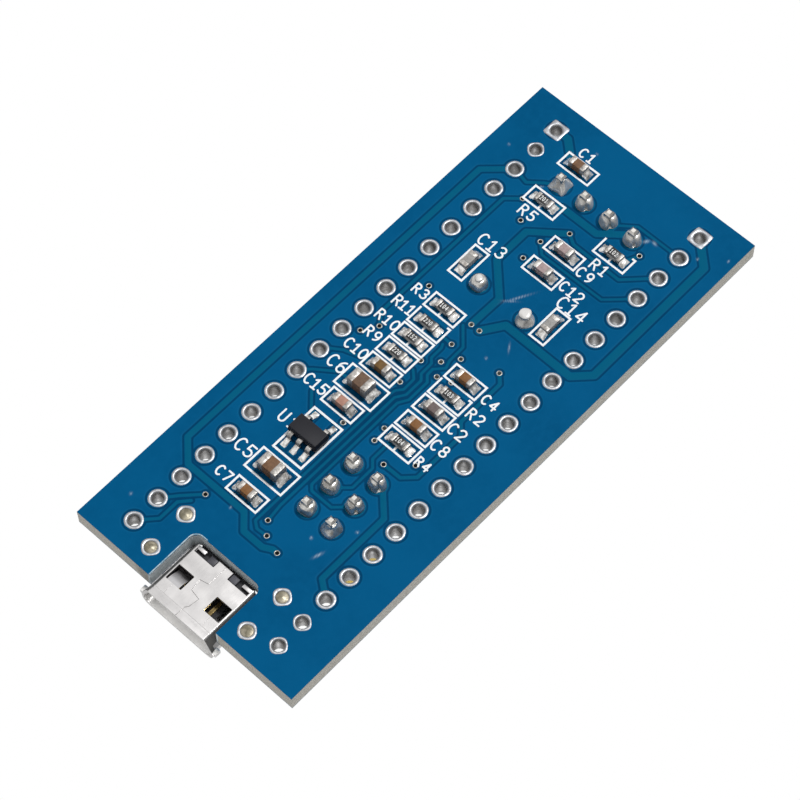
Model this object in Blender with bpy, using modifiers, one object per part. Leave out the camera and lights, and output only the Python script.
"""Microcontroller dev board: a 53 x 22.6 mm circuit board with two rows of 20 header holes and a mid-mount
micro USB receptacle in a cut-out at the +X end.  Chip parts and a regulator sit on the solder side (facing
-Z); the controller, crystals, reset switch, boot header with two jumper caps and debug header sit on the
component side (facing +Z).  Origin: centre of the board's outline on its solder-side face.
Sizes below are in millimetres; the scene is in metres, +Z up.
"""
import math

import bmesh
import bpy
from mathutils import Matrix, Vector

for old in list(bpy.data.objects):
    bpy.data.objects.remove(old, do_unlink=True)

MM = 0.001
BOTH = (-1, 1)           # the two signs of a mirrored pair

# ---------------------------------------------------------------- shared dimensions
BOARD_L = 53.14          # along X
BOARD_W = 22.60          # along Y
BOARD_T = 1.60           # solder face at Z = 0
PITCH = 2.54
SEAT = 0.04              # gap under a seated part
SEAT_Z = BOARD_T + SEAT  # underside of a part on the component side
FIT = 0.04               # gap round a part in a hole

BOOT_X = (9.42, 9.42 + PITCH, 9.42 + 2 * PITCH)
BOOT_Y = (-1.33, -1.33 - PITCH)
DEBUG_X = -8 * PITCH
DEBUG_Y = (-1.5 * PITCH, -0.5 * PITCH, 0.5 * PITCH, 1.5 * PITCH)
CRYSTAL_X = -9.00
CRYSTAL_LEAD_Y = 2.44
USB_LEG_X = (21.10, 24.85)
USB_LEG_Y = 5.08

parts = bpy.data.collections.new("microcontroller_dev_board")
cutters = bpy.data.collections.new("cutters")
bpy.context.scene.collection.children.link(parts)
bpy.context.scene.collection.children.link(cutters)


# ---------------------------------------------------------------- materials
def material(name, colour, roughness, metallic=0.0):
    mat = bpy.data.materials.new(name)
    mat.use_nodes = True
    inputs = mat.node_tree.nodes["Principled BSDF"].inputs
    inputs["Base Color"].default_value = (*colour, 1.0)
    inputs["Roughness"].default_value = roughness
    inputs["Metallic"].default_value = metallic
    return mat


SOLDER_MASK = material("solder_mask", colour=(0.0, 0.09, 0.24), roughness=0.35)
STEEL = material("steel", colour=(0.75, 0.75, 0.76), roughness=0.28, metallic=1.0)
BLACK = material("black_moulding", colour=(0.02, 0.02, 0.022), roughness=0.45)
BUTTON_PLASTIC = material("button_plastic", colour=(0.30, 0.20, 0.13), roughness=0.5)
GOLD_PIN = material("gold_pin", colour=(0.75, 0.60, 0.28), roughness=0.3, metallic=1.0)
JUMPER_PLASTIC = material("jumper_plastic", colour=(0.85, 0.62, 0.03), roughness=0.4)
BRONZE = material("phosphor_bronze", colour=(0.72, 0.52, 0.30), roughness=0.3, metallic=1.0)
GOLD_CONTACT = material("gold_contact", colour=(0.80, 0.62, 0.25), roughness=0.25, metallic=1.0)


# ---------------------------------------------------------------- mesh helpers
def move(x, y, z):
    """A translation given in millimetres."""
    return Matrix.Translation((x * MM, y * MM, z * MM))


def to_mesh(name, solid, recalc=True):
    """Turn a bmesh into a mesh and free it."""
    if recalc:
        bmesh.ops.recalc_face_normals(solid, faces=solid.faces)
    mesh = bpy.data.meshes.new(name)
    solid.to_mesh(mesh)
    solid.free()
    return mesh


def add_box(solid, centre, size, turn=0.0):
    """Add a box, turned about Z by turn radians."""
    scale = Matrix.Diagonal((size[0] * MM, size[1] * MM, size[2] * MM, 1.0))
    bmesh.ops.create_cube(solid, size=1.0, matrix=move(*centre) @ Matrix.Rotation(turn, 4, "Z") @ scale)


def box_bmesh(*boxes):
    """A bmesh of boxes, each given as (centre, size)."""
    solid = bmesh.new()
    for centre, size in boxes:
        add_box(solid, centre, size)
    return solid


def box_mesh(name, *boxes):
    return to_mesh(name, box_bmesh(*boxes))


def add_cylinder(solid, x, y, bottom, top, radius, segments):
    bmesh.ops.create_cone(solid, cap_ends=True, cap_tris=False, segments=segments,
                          radius1=radius * MM, radius2=radius * MM, depth=(top - bottom) * MM,
                          matrix=move(x, y, (bottom + top) / 2))


def cylinder_mesh(name, bottom, top, radius, segments):
    solid = bmesh.new()
    add_cylinder(solid, 0, 0, bottom, top, radius, segments)
    return to_mesh(name, solid)


def rise(edge):
    """Height difference between an edge's ends, in metres."""
    return abs(edge.verts[0].co.z - edge.verts[1].co.z)


def chamfer(solid, edges, width):
    bmesh.ops.bevel(solid, geom=edges, offset=width * MM, segments=1, affect="EDGES")


def outline(name, points, thickness):
    """A closed flat outline thickened evenly about the XY plane, as a welded mesh."""
    curve = bpy.data.curves.new(name, "CURVE")
    curve.dimensions = "2D"
    curve.fill_mode = "BOTH"
    curve.extrude = thickness / 2 * MM
    spline = curve.splines.new("POLY")
    spline.points.add(len(points) - 1)
    for point, (x, y) in zip(spline.points, points):
        point.co = (x * MM, y * MM, 0.0, 1.0)
    spline.use_cyclic_u = True
    holder = bpy.data.objects.new(name, curve)
    cutters.objects.link(holder)
    bpy.context.view_layer.update()
    evaluated = holder.evaluated_get(bpy.context.evaluated_depsgraph_get())
    filled = bpy.data.meshes.new_from_object(evaluated)
    bpy.data.objects.remove(holder, do_unlink=True)
    solid = bmesh.new()
    solid.from_mesh(filled)
    bmesh.ops.remove_doubles(solid, verts=solid.verts, dist=1e-6)
    bpy.data.meshes.remove(filled)
    return to_mesh(name, solid)


def side_outline(name, points, width):
    """An outline given in X and Z, thickened evenly along Y."""
    mesh = outline(name, points, width)
    mesh.transform(Matrix.Rotation(math.pi / 2, 4, "X"))
    return mesh


def slot_shape(name, length, width, thickness, segments, centre_z, along_x=False):
    """A plate with straight sides and half-round ends; it runs along Y, or along X if asked."""
    radius = width / 2
    half = (length - width) / 2
    points = []
    for start, middle in ((0.0, half), (math.pi, -half)):
        for k in range(segments + 1):
            angle = start + math.pi * k / segments
            points.append((radius * math.cos(angle), middle + radius * math.sin(angle)))
    mesh = outline(name, points, thickness)
    lift = move(0, 0, centre_z)
    mesh.transform(lift @ Matrix.Rotation(math.pi / 2, 4, "Z") if along_x else lift)
    return mesh


# ---------------------------------------------------------------- object helpers
def place(name, mesh, mat=None, matrix=None, collection=parts):
    ob = bpy.data.objects.new(name, mesh)
    collection.objects.link(ob)
    if matrix is not None:
        ob.matrix_world = matrix
    if mat is not None:
        mesh.materials.append(mat)
    return ob


def boolean(ob, mesh, kind, matrix=None):
    """Join or cut with a hidden helper object; returns the helper."""
    helper = place(ob.name + "_" + kind.lower(), mesh, matrix=matrix, collection=cutters)
    helper.hide_render = True
    helper.display_type = "WIRE"
    mod = ob.modifiers.new(kind.lower(), "BOOLEAN")
    mod.operation = kind
    mod.solver = "EXACT"
    mod.object = helper
    return helper


def bevel(ob, width):
    mod = ob.modifiers.new("bevel", "BEVEL")
    mod.width = width * MM
    mod.segments = 1
    mod.limit_method = "NONE"


def sheet(ob, thickness, offset=-1.0):
    mod = ob.modifiers.new("sheet", "SOLIDIFY")
    mod.thickness = thickness * MM
    mod.offset = offset


# ---------------------------------------------------------------- the board
HEADER_N = 20            # holes in a row
HEADER_Y = 3 * PITCH     # rows at plus and minus this
HEADER_HOLE_R = 0.50
PIN_HOLE_R = 0.50
CRYSTAL_HOLE_R = 0.40
USB_LEG_HOLE_R = 0.55
VIA_R = 0.15
HOLE_SEGMENTS = 12
VIA_SEGMENTS = 6

SLOT_X0 = 21.60          # -X end of the USB cut-out
SLOT_L = 10.0            # runs out past the +X edge of the board
SLOT_HALF = 3.50
SLOT_R = 0.70            # rounding of its two -X corners

# straight cuts that divide the board's faces into strips
CUTS_Y = (-9.3, -6.1, -1.8, 1.8, 6.1, 9.3)
CUTS_X = (-24.9, -7.0, 8.0, 20.0, 25.6)

# through vias in the middle of the board: x, y
VIAS = (
    (-5.87, -0.45), (-5.87, 0.40), (-4.10, -4.15), (-3.00, -1.10), (-3.50, 0.33), (-1.77, -0.13),
    (-0.57, -0.80), (-0.80, 1.10), (1.70, 1.00), (5.50, -0.90), (6.80, -1.07), (7.30, 1.77),
)


def divide(solid, position, normal):
    geometry = solid.verts[:] + solid.edges[:] + solid.faces[:]
    bmesh.ops.bisect_plane(solid, geom=geometry, plane_co=position, plane_no=normal)


def usb_slot():
    slot = box_bmesh(((SLOT_X0 + SLOT_L / 2, 0, BOARD_T / 2), (SLOT_L, 2 * SLOT_HALF, BOARD_T + 2)))
    corners = [edge for edge in slot.edges
               if rise(edge) > 0.001 and edge.verts[0].co.x < (SLOT_X0 + 1) * MM]
    bmesh.ops.bevel(slot, geom=corners, offset=SLOT_R * MM, segments=4, profile=0.5, affect="EDGES")
    return to_mesh("slot", slot)


def board_holes():
    holes = bmesh.new()

    def drill(x, y, radius, segments=HOLE_SEGMENTS):
        add_cylinder(holes, x, y, -1, BOARD_T + 1, radius, segments)

    for i in range(HEADER_N):
        for side in BOTH:
            drill((i - (HEADER_N - 1) / 2) * PITCH, side * HEADER_Y, HEADER_HOLE_R)
    for x in BOOT_X:
        for y in BOOT_Y:
            drill(x, y, PIN_HOLE_R)
    for y in DEBUG_Y:
        drill(DEBUG_X, y, PIN_HOLE_R)
    for x, y in VIAS:
        drill(x, y, VIA_R, VIA_SEGMENTS)
    for side in BOTH:
        drill(CRYSTAL_X, side * CRYSTAL_LEAD_Y, CRYSTAL_HOLE_R)
        for x in USB_LEG_X:
            drill(x, side * USB_LEG_Y, USB_LEG_HOLE_R)
    return to_mesh("holes", holes)


def make_board():
    blank = box_bmesh(((0, 0, BOARD_T / 2), (BOARD_L, BOARD_W, BOARD_T)))
    for y in CUTS_Y:
        divide(blank, (0, y * MM, 0), (0, 1, 0))
    for x in CUTS_X:
        divide(blank, (x * MM, 0, 0), (1, 0, 0))
    board = place("pcb", to_mesh("pcb", blank), SOLDER_MASK)
    boolean(board, usb_slot(), "DIFFERENCE")
    boolean(board, board_holes(), "DIFFERENCE")


# ---------------------------------------------------------------- chip parts
CHIP_EDGE = 0.05         # bevel on every edge

# kinds of chip: length, width, height, colour
BROWN_COLOUR = (0.36, 0.20, 0.11)
BROWN = (1.60, 0.80, 0.80, BROWN_COLOUR)
BROWN_LARGE = (2.00, 1.25, 1.25, BROWN_COLOUR)
PINK = (1.60, 0.80, 0.80, (0.55, 0.38, 0.32))
ORANGE = (1.60, 0.80, 0.80, (0.52, 0.24, 0.10))
GREY = (1.60, 0.80, 0.70, (0.52, 0.50, 0.47))
RESISTOR = (1.60, 0.80, 0.45, (0.03, 0.03, 0.03))
LED_POWER = (1.60, 0.80, 0.60, (0.85, 0.80, 0.55))
LED_STATUS = (1.60, 0.80, 0.60, (0.80, 0.85, 0.80))

# name, centre x, centre y, axis the length runs along, kind
SOLDER_SIDE_CHIPS = (
    ("capacitor_C1", -22.52, 3.85, "Y", BROWN),
    ("resistor_R5", -18.22, 3.72, "Y", RESISTOR),
    ("resistor_R1", -18.22, -3.70, "Y", RESISTOR),
    ("capacitor_C9", -15.72, -0.62, "Y", PINK),
    ("capacitor_C12", -13.22, -0.56, "Y", PINK),
    ("capacitor_C14", -9.88, -4.28, "X", GREY),
    ("capacitor_C13", -9.92, 4.38, "X", GREY),
    ("capacitor_C4", -1.73, -2.75, "Y", ORANGE),
    ("resistor_R2", 0.09, -2.75, "Y", RESISTOR),
    ("capacitor_C2", 1.90, -2.75, "Y", PINK),
    ("capacitor_C8", 3.85, -2.75, "Y", ORANGE),
    ("resistor_R4", 5.70, -2.75, "Y", RESISTOR),
    ("resistor_R3", -5.43, 2.83, "Y", RESISTOR),
    ("resistor_R11", -3.56, 2.83, "Y", RESISTOR),
    ("resistor_R10", -1.75, 2.83, "Y", RESISTOR),
    ("resistor_R9", 0.05, 2.83, "Y", RESISTOR),
    ("capacitor_C10", 1.89, 2.83, "Y", BROWN),
    ("capacitor_C6", 4.07, 2.86, "Y", BROWN_LARGE),
    ("capacitor_C15", 6.23, 2.86, "Y", PINK),
    ("capacitor_C5", 14.03, 2.85, "Y", BROWN_LARGE),
    ("capacitor_C7", 16.72, 2.86, "Y", ORANGE),
)
COMPONENT_SIDE_CHIPS = (
    ("capacitor_C3", -4.70, 5.10, "X", BROWN),
    ("capacitor_C11", 5.60, -5.60, "X", BROWN),
    ("resistor_R6", -14.30, -5.70, "X", RESISTOR),
    ("resistor_R7", -14.30, 5.70, "X", RESISTOR),
    ("led_power", -17.20, -5.70, "X", LED_POWER),
    ("led_status", -17.20, 5.70, "X", LED_STATUS),
)


def make_chip(name, x, y, axis, kind, solder_side):
    length, width, height, colour = kind
    z = -(SEAT + height / 2) if solder_side else SEAT_Z + height / 2
    size = (length, width, height) if axis == "X" else (width, length, height)
    mat = material(name + "_body", colour, roughness=0.4)
    chip = place(name, box_mesh(name, ((0, 0, 0), size)), mat, move(x, y, z))
    bevel(chip, CHIP_EDGE)


def make_chips():
    for row in SOLDER_SIDE_CHIPS:
        make_chip(*row, solder_side=True)
    for row in COMPONENT_SIDE_CHIPS:
        make_chip(*row, solder_side=False)


# ---------------------------------------------------------------- packages on gull-wing leads
MCU_SIDE_LEADS = 12
MCU_PITCH = 0.50
REGULATOR_PITCH = 0.95
CLOCK_LEAD_Y = 2.75      # shift of the clock crystal's leads out along Y
CLOCK_LEAD_X = 1.10


def gull_lead(name, width, inner, top, foot_in, foot_out, thick):
    """A lead running outwards along +X, its foot on Z = 0 and its shoulder's underside at top."""
    points = (
        (inner, top + thick), (foot_in - 0.12, top + thick), (foot_in + 0.12, thick),
        (foot_out, thick), (foot_out, 0.0), (foot_in, 0.0), (foot_in - 0.24, top), (inner, top),
    )
    return side_outline(name, points, width)


def leaded_package(name, x, y, size, body_z, leads, lead, edge, turn=0.0, solder_side=False):
    """A moulded body on leads, listed as (outward angle, offset along the side, outward shift)."""
    body = box_bmesh(((0, 0, body_z + size[2] / 2), size))
    chamfer(body, body.edges[:], edge)
    seat = move(x, y, -SEAT if solder_side else SEAT_Z)
    if solder_side:
        seat = seat @ Matrix.Rotation(math.pi, 4, "X")
    seat = seat @ Matrix.Rotation(turn, 4, "Z")
    package = place(name, to_mesh(name, body), BLACK, seat)
    group = bmesh.new()
    for angle, offset, shift in leads:
        one = lead.copy()
        one.transform(Matrix.Rotation(angle, 4, "Z") @ move(shift, offset, 0))
        group.from_mesh(one)
        bpy.data.meshes.remove(one)
    boolean(package, to_mesh(name + "_leads", group), "UNION", seat)


def make_mcu():
    lead = gull_lead("lqfp_lead", width=0.22, inner=3.30, top=0.72, foot_in=3.98, foot_out=4.50,
                     thick=0.13)
    leads = [(side * math.pi / 2, (i - (MCU_SIDE_LEADS - 1) / 2) * MCU_PITCH, 0.0)
             for side in range(4) for i in range(MCU_SIDE_LEADS)]
    leaded_package("mcu_chip", x=0.60, y=0.00, size=(7.00, 7.00, 1.40), body_z=0.10, leads=leads,
                   lead=lead, edge=0.12, turn=math.pi / 4)


def make_regulator():
    lead = gull_lead("sot_lead", width=0.40, inner=0.60, top=0.55, foot_in=1.02, foot_out=1.40,
                     thick=0.14)
    # three leads towards +X, two towards -X
    leads = [(0.0, k * REGULATOR_PITCH, 0.0) for k in (-1, 0, 1)]
    leads += [(math.pi, k * REGULATOR_PITCH, 0.0) for k in BOTH]
    leaded_package("voltage_regulator_U1", x=10.00, y=2.85, size=(1.60, 2.95, 1.05), body_z=0.08,
                   leads=leads, lead=lead, edge=0.08, solder_side=True)


def make_clock_crystal():
    lead = gull_lead("clock_lead", width=0.50, inner=0.60, top=0.35, foot_in=1.10, foot_out=1.50,
                     thick=0.18)
    leads = [(end * math.pi / 2, side * CLOCK_LEAD_X, CLOCK_LEAD_Y) for end in BOTH for side in BOTH]
    leaded_package("clock_crystal", x=-14.30, y=0.0, size=(3.60, 7.60, 2.30), body_z=0.05,
                   leads=leads, lead=lead, edge=0.15)


# ---------------------------------------------------------------- main crystal
CRYSTAL_BASE_T = 0.45
CRYSTAL_WIRE_R = 0.215
CRYSTAL_WIRE_TAIL = 1.05   # wire end below the solder face
CRYSTAL_CAN_H = 3.00
CRYSTAL_CAN_T = 0.22       # sheet
CRYSTAL_CAN_EDGE = 0.35    # rounding of the can's top edge
CRYSTAL_CAN_GAP = 0.03     # can above base


def make_crystal_base():
    at = move(CRYSTAL_X, 0, SEAT_Z)
    plate = slot_shape("base", length=11.20, width=4.60, thickness=CRYSTAL_BASE_T, segments=7,
                       centre_z=CRYSTAL_BASE_T / 2)
    base = place("main_crystal_base", plate, STEEL, at)
    boss = slot_shape("boss", length=9.50, width=3.10, thickness=0.60, segments=6, centre_z=0.55)
    boolean(base, boss, "UNION", at)
    wires = bmesh.new()
    for side in BOTH:
        add_cylinder(wires, 0, side * CRYSTAL_LEAD_Y, -SEAT_Z - CRYSTAL_WIRE_TAIL, 0.30,
                     CRYSTAL_WIRE_R, segments=10)
    boolean(base, to_mesh("wires", wires), "UNION", at)


def make_crystal_can():
    """An open-bottomed shell of sheet with a rounded top edge."""
    block = slot_shape("can", length=10.30, width=3.70, thickness=CRYSTAL_CAN_H, segments=7, centre_z=0)
    shell = bmesh.new()
    shell.from_mesh(block)
    bottom = [face for face in shell.faces if face.normal.z < -0.9]
    bmesh.ops.delete(shell, geom=bottom, context="FACES_ONLY")
    loose = [edge for edge in shell.edges if not edge.link_faces]
    bmesh.ops.delete(shell, geom=loose, context="EDGES")
    rim = []
    for edge in shell.edges:
        upward = [face.normal.z > 0.9 for face in edge.link_faces]
        if len(upward) == 2 and any(upward) and not all(upward):
            rim.append(edge)
    bmesh.ops.bevel(shell, geom=rim, offset=CRYSTAL_CAN_EDGE * MM, segments=2, profile=0.5,
                    affect="EDGES")
    bmesh.ops.translate(shell, verts=shell.verts, vec=(0, 0, CRYSTAL_CAN_H / 2 * MM))
    can = place("main_crystal_can", to_mesh("can", shell, recalc=False), STEEL,
                move(CRYSTAL_X, 0, SEAT_Z + CRYSTAL_BASE_T + CRYSTAL_CAN_GAP))
    sheet(can, CRYSTAL_CAN_T)


# ---------------------------------------------------------------- reset switch
RESET_X, RESET_Y = 12.20, 3.60
RESET_AT = move(RESET_X, RESET_Y, SEAT_Z)
RESET_BASE_H = 1.40
RESET_COVER_Z = 1.54       # middle of the cover sheet above the seat
DOME_Z = 0.48              # rim of the dome above the seat
DOME_R = 1.30
DOME_BULGE = 0.30
DOME_T = 0.08
DOME_RINGS = 4
DOME_SEGMENTS = 16
BUTTON_Z = 1.05            # underside of the stem above the seat
BUTTON_H = 1.35


def make_reset_base():
    block = box_mesh("reset_base", ((0, 0, RESET_BASE_H / 2), (5.40, 3.00, RESET_BASE_H)))
    base = place("reset_switch_base", block, BLACK, RESET_AT)
    # a solder tab at each end
    tabs = box_mesh("tabs", *(((side * 2.90, 0, 0.10), (1.2, 1.10, 0.16)) for side in BOTH))
    boolean(base, tabs, "UNION", RESET_AT)
    well = cylinder_mesh("well", bottom=0.35, top=2.0, radius=1.40, segments=20)
    boolean(base, well, "DIFFERENCE", RESET_AT).name = "reset_well"


def make_reset_dome():
    """Snap dome: a shallow disc bowed upwards, of concentric rings round a middle vertex."""
    disc = bmesh.new()
    for k in range(1, DOME_RINGS + 1):
        height = DOME_BULGE * (1 - (k / DOME_RINGS) ** 2)
        bmesh.ops.create_circle(disc, cap_ends=False, segments=DOME_SEGMENTS,
                                radius=DOME_R * k / DOME_RINGS * MM, matrix=move(0, 0, height))
    top = disc.verts.new((0, 0, DOME_BULGE * MM))
    disc.verts.ensure_lookup_table()
    verts = disc.verts
    for j in range(DOME_SEGMENTS):
        after = (j + 1) % DOME_SEGMENTS
        disc.faces.new((top, verts[j], verts[after]))
        for k in range(DOME_RINGS - 1):
            inner = k * DOME_SEGMENTS
            outer = inner + DOME_SEGMENTS
            disc.faces.new((verts[inner + j], verts[outer + j],
                            verts[outer + after], verts[inner + after]))
    dome = place("reset_dome", to_mesh("reset_dome", disc), STEEL,
                 move(RESET_X, RESET_Y, SEAT_Z + DOME_Z))
    sheet(dome, DOME_T, offset=0.0)


def make_reset_cover():
    """A sheet over the base with an opening for the button and a skirt down each Y side."""
    plate = box_mesh("reset_cover", ((0, 0, RESET_COVER_Z), (5.50, 3.30, 0.20)))
    cover = place("reset_switch_cover", plate, STEEL, RESET_AT)
    skirts = box_mesh("skirts", *(((0, side * 1.60, 1.00), (3.60, 0.12, 1.20)) for side in BOTH))
    boolean(cover, skirts, "UNION", RESET_AT)
    opening = slot_shape("opening", length=2.90, width=1.60, thickness=1.0, segments=6,
                         centre_z=RESET_COVER_Z, along_x=True)
    boolean(cover, opening, "DIFFERENCE", RESET_AT)


def make_reset_button():
    """A slot-shaped stem on a round flange held under the cover."""
    stem = slot_shape("button", length=2.70, width=1.40, thickness=BUTTON_H, segments=6,
                      centre_z=BUTTON_Z + BUTTON_H / 2, along_x=True)
    button = place("reset_button", stem, BUTTON_PLASTIC, RESET_AT)
    flange = cylinder_mesh("flange", bottom=1.07, top=1.38, radius=1.365, segments=20)
    boolean(button, flange, "UNION", RESET_AT)


# ---------------------------------------------------------------- pin headers and jumper caps
PIN = 0.64               # square header pin
PIN_CLEAR = PIN + 2 * FIT
PIN_TAIL = 1.55          # pin end below the solder face
PIN_TOP = 9.75           # pin end above the solder face
PIN_CHAMFER = 0.16
HEADER_BASE_H = 2.50
HEADER_CORNER = 0.45     # chamfer on the base's upright edges
HEADER_NOTCH = 0.62      # side of the square that cuts a V notch
JUMPER_L, JUMPER_W, JUMPER_H = 4.90, 2.36, 6.00
JUMPER_EDGE = 0.18


def make_pin(name, x, y):
    pin = box_bmesh(((0, 0, (PIN_TOP - PIN_TAIL) / 2), (PIN, PIN, PIN_TOP + PIN_TAIL)))
    chamfer(pin, [edge for edge in pin.edges if rise(edge) < 1e-6], PIN_CHAMFER)
    place(name, to_mesh(name, pin), GOLD_PIN, move(x, y, 0))


def header_base(name, pins_x, pins_y):
    centre_x = (min(pins_x) + max(pins_x)) / 2
    centre_y = (min(pins_y) + max(pins_y)) / 2
    length_x = len(pins_x) * PITCH
    length_y = len(pins_y) * PITCH
    middle = HEADER_BASE_H / 2
    through = HEADER_BASE_H + 1
    at = move(centre_x, centre_y, SEAT_Z)
    block = box_bmesh(((0, 0, middle), (length_x, length_y, HEADER_BASE_H)))
    chamfer(block, [edge for edge in block.edges if rise(edge) > 0.001], HEADER_CORNER)
    base = place(name, to_mesh(name, block), BLACK, at)

    cut = bmesh.new()
    for x in pins_x:
        for y in pins_y:
            add_box(cut, (x - centre_x, y - centre_y, middle), (PIN_CLEAR, PIN_CLEAR, through))
    # V notches between the cells along each side
    notch = (HEADER_NOTCH, HEADER_NOTCH, through)
    for k in range(1, len(pins_x)):
        for side in BOTH:
            centre = (-length_x / 2 + k * PITCH, side * length_y / 2, middle)
            add_box(cut, centre, notch, math.pi / 4)
    for k in range(1, len(pins_y)):
        for side in BOTH:
            centre = (side * length_x / 2, -length_y / 2 + k * PITCH, middle)
            add_box(cut, centre, notch, math.pi / 4)
    boolean(base, to_mesh(name + "_cut", cut), "DIFFERENCE", at)


def jumper_cap(tag, at):
    block = box_mesh("cap_" + tag, ((0, 0, JUMPER_H / 2), (JUMPER_L, JUMPER_W, JUMPER_H)))
    cap = place("boot_jumper_cap_" + tag, block, JUMPER_PLASTIC, at)
    bevel(cap, JUMPER_EDGE)
    hollow = box_mesh("hollow_" + tag, ((0, 0, 2.5), (3.94, 1.34, 6.5)))
    boolean(cap, hollow, "DIFFERENCE", at)
    # a slit through the top opens the cap over the clip
    slit = box_mesh("slit_" + tag, ((0, 0, 5.7), (1.30, 0.60, 1.4)))
    boolean(cap, slit, "DIFFERENCE", at)


def jumper_clip(tag, at):
    """Two forks joined by a web; each grips one pin between its two leaves."""
    block = box_mesh("clip_" + tag, ((0, 0, 2.62), (3.80, 1.20, 5.10)))
    clip = place("boot_jumper_clip_" + tag, block, BRONZE, at)
    gaps = (((side * 1.60, 0, 2.60), (1.50, PIN_CLEAR, 6.00)) for side in BOTH)
    boolean(clip, box_mesh("gap_" + tag, *gaps), "DIFFERENCE", at)


def make_boot_header():
    header_base("boot_header_base", BOOT_X, BOOT_Y)
    for row, y in enumerate(BOOT_Y):
        for i, x in enumerate(BOOT_X):
            make_pin("boot_header_pin_%d" % (row * len(BOOT_X) + i + 1), x, y)


def make_debug_header():
    header_base("debug_header_base", (DEBUG_X,), DEBUG_Y)
    for i, y in enumerate(DEBUG_Y):
        make_pin("debug_header_pin_%d" % (i + 1), DEBUG_X, y)


def make_jumpers():
    """One jumper on each row of the boot header, over its middle and +X pins."""
    for row, y in enumerate(BOOT_Y):
        at = move((BOOT_X[1] + BOOT_X[2]) / 2, y, SEAT_Z + HEADER_BASE_H + FIT)
        jumper_cap(str(row), at)
        jumper_clip(str(row), at)


# ---------------------------------------------------------------- micro USB receptacle
USB_X0, USB_X1 = 21.95, 27.40
USB_T = 0.25             # shell sheet
USB_FLARE_L = 0.55       # flared length at the +X mouth
USB_FLARE = 0.18         # how far the mouth spreads
USB_MIDDLE_Z = 2.0
USB_WING_X = (20.65, 25.35)
USB_LEG_BOTTOM = 0.35
CONTACT_N = 5
CONTACT_PITCH = 0.65

# +Y half of the shell's outside seen along X, bottom to top: y, z, corner radius, corner segments
USB_HALF_PROFILE = (
    (3.00, 0.78, 0.12, 1), (3.43, 1.66, 0.10, 1), (3.65, 2.05, 0.10, 1), (3.65, 3.22, 0.55, 3),
)
# side outline of a contact: x, z
CONTACT_OUTLINE = (
    (26.00, 2.16), (21.55, 2.16), (21.25, 1.78), (20.60, 1.78),
    (20.60, 1.64), (21.33, 1.64), (21.63, 2.02), (26.00, 2.02),
)


def usb_profile():
    """The whole outside as (y, z) points, each corner rounded with a quadratic curve."""
    corners = list(USB_HALF_PROFILE)
    corners += [(-y, z, radius, segments) for y, z, radius, segments in reversed(USB_HALF_PROFILE)]
    points = []
    for i, (y, z, radius, segments) in enumerate(corners):
        before = Vector(corners[i - 1][:2])
        corner = Vector((y, z))
        after = Vector(corners[(i + 1) % len(corners)][:2])
        back = (before - corner).normalized()
        ahead = (after - corner).normalized()
        angle = math.acos(max(-1, min(1, back.dot(ahead))))
        reach = radius / math.tan(angle / 2)
        start = corner + back * reach
        end = corner + ahead * reach
        for k in range(segments + 1):
            u = k / segments
            point = (1 - u) ** 2 * start + 2 * u * (1 - u) * corner + u ** 2 * end
            points.append((point.x, point.y))
    return points


def usb_tube():
    """The open shell surface: straight, then flared at the +X mouth, with normals outwards."""
    tube = bmesh.new()
    loops = []
    for x, grow in ((USB_X0, 0.0), (USB_X1 - USB_FLARE_L, 0.0), (USB_X1, USB_FLARE)):
        loops.append([tube.verts.new((x * MM, (y + math.copysign(grow, y)) * MM,
                                      (z + math.copysign(grow, z - USB_MIDDLE_Z)) * MM))
                      for y, z in usb_profile()])
    count = len(loops[0])
    for first, second in zip(loops, loops[1:]):
        for k in range(count):
            after = (k + 1) % count
            tube.faces.new((first[k], first[after], second[after], second[k]))
    mesh = to_mesh("usb_shell", tube)
    # recalculation may turn an open tube either way
    if sum(face.normal.z * (face.center.z - USB_MIDDLE_Z * MM) for face in mesh.polygons) < 0:
        mesh.flip_normals()
    return mesh


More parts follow.
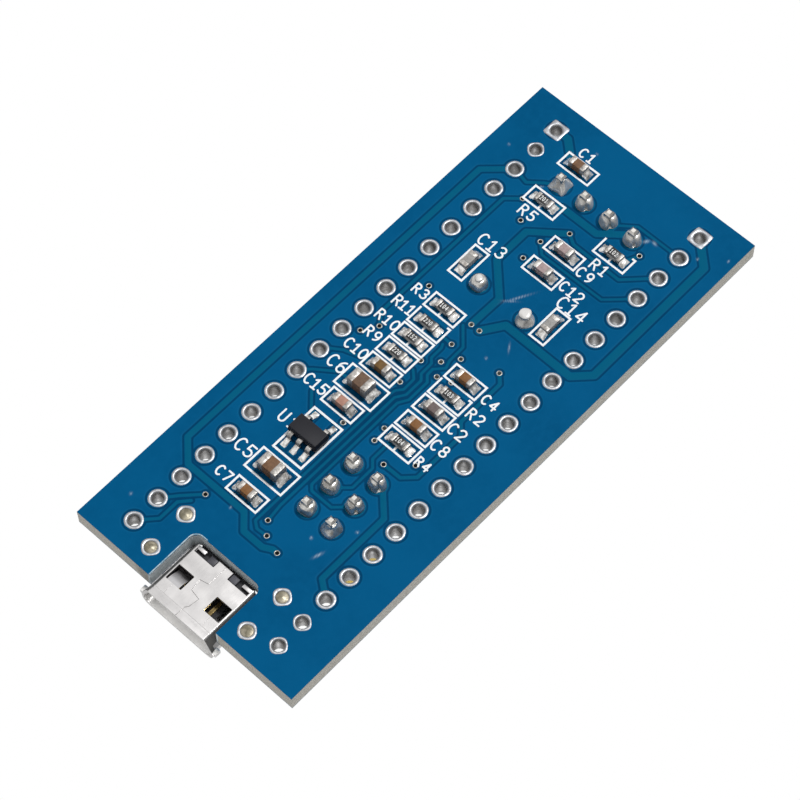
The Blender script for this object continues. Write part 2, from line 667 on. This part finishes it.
def make_usb_shell():
    shell = place("usb_shell", usb_tube(), STEEL)
    sheet(shell, USB_T)

    # a wing on the board at each side
    wing_x = sum(USB_WING_X) / 2
    wing_size = (USB_WING_X[1] - USB_WING_X[0], 1.90, USB_T)
    wings = (((wing_x, side * 4.30, SEAT_Z + USB_T / 2), wing_size) for side in BOTH)
    boolean(shell, box_mesh("wings", *wings), "UNION")

    # two legs down from each wing, and a block on each side of the mouth
    leg_top = SEAT_Z + 0.15
    leg_z = (USB_LEG_BOTTOM + leg_top) / 2
    leg_size = (0.90, USB_T, leg_top - USB_LEG_BOTTOM)
    legs = []
    for side in BOTH:
        legs += [((x, side * USB_LEG_Y, leg_z), leg_size) for x in USB_LEG_X]
        legs.append(((27.0, side * 3.78, 2.35), (0.62, 0.44, 0.55)))
    boolean(shell, box_mesh("legs", *legs), "UNION")

    # two openings through the shell's underside on each side
    windows = []
    for side in BOTH:
        windows.append(((24.88, side * 2.00, 0.80), (1.50, 1.60, 0.9)))
        windows.append(((22.28, side * 1.75, 0.80), (0.64, 2.05, 0.9)))
    boolean(shell, box_mesh("windows", *windows), "DIFFERENCE")


def contact_y(k):
    return (k - (CONTACT_N - 1) // 2) * CONTACT_PITCH


def make_usb_insulator():
    block = box_mesh("usb_insulator", ((22.85, 0, 2.02), (1.40, 5.60, 1.80)))
    insulator = place("usb_insulator", block, BLACK)
    tongue = box_mesh("tongue", ((24.70, 0, 2.52), (3.20, 3.70, 0.62)))
    boolean(insulator, tongue, "UNION")
    slots = (((22.85, contact_y(k), 2.10), (1.80, 0.40, 0.26)) for k in range(CONTACT_N))
    boolean(insulator, box_mesh("slots", *slots), "DIFFERENCE")


def make_usb_contacts():
    """Five contacts that share one mesh."""
    contact = side_outline("usb_contact", CONTACT_OUTLINE, 0.30)
    contact.materials.append(GOLD_CONTACT)
    for k in range(CONTACT_N):
        place("usb_contact_%d" % (k + 1), contact, matrix=move(0, contact_y(k), 0))


make_board()
make_chips()
make_mcu()
make_regulator()
make_clock_crystal()
make_crystal_base()
make_crystal_can()
make_reset_base()
make_reset_dome()
make_reset_cover()
make_reset_button()
make_boot_header()
make_debug_header()
make_jumpers()
make_usb_shell()
make_usb_insulator()
make_usb_contacts()
bpy.context.view_layer.update()
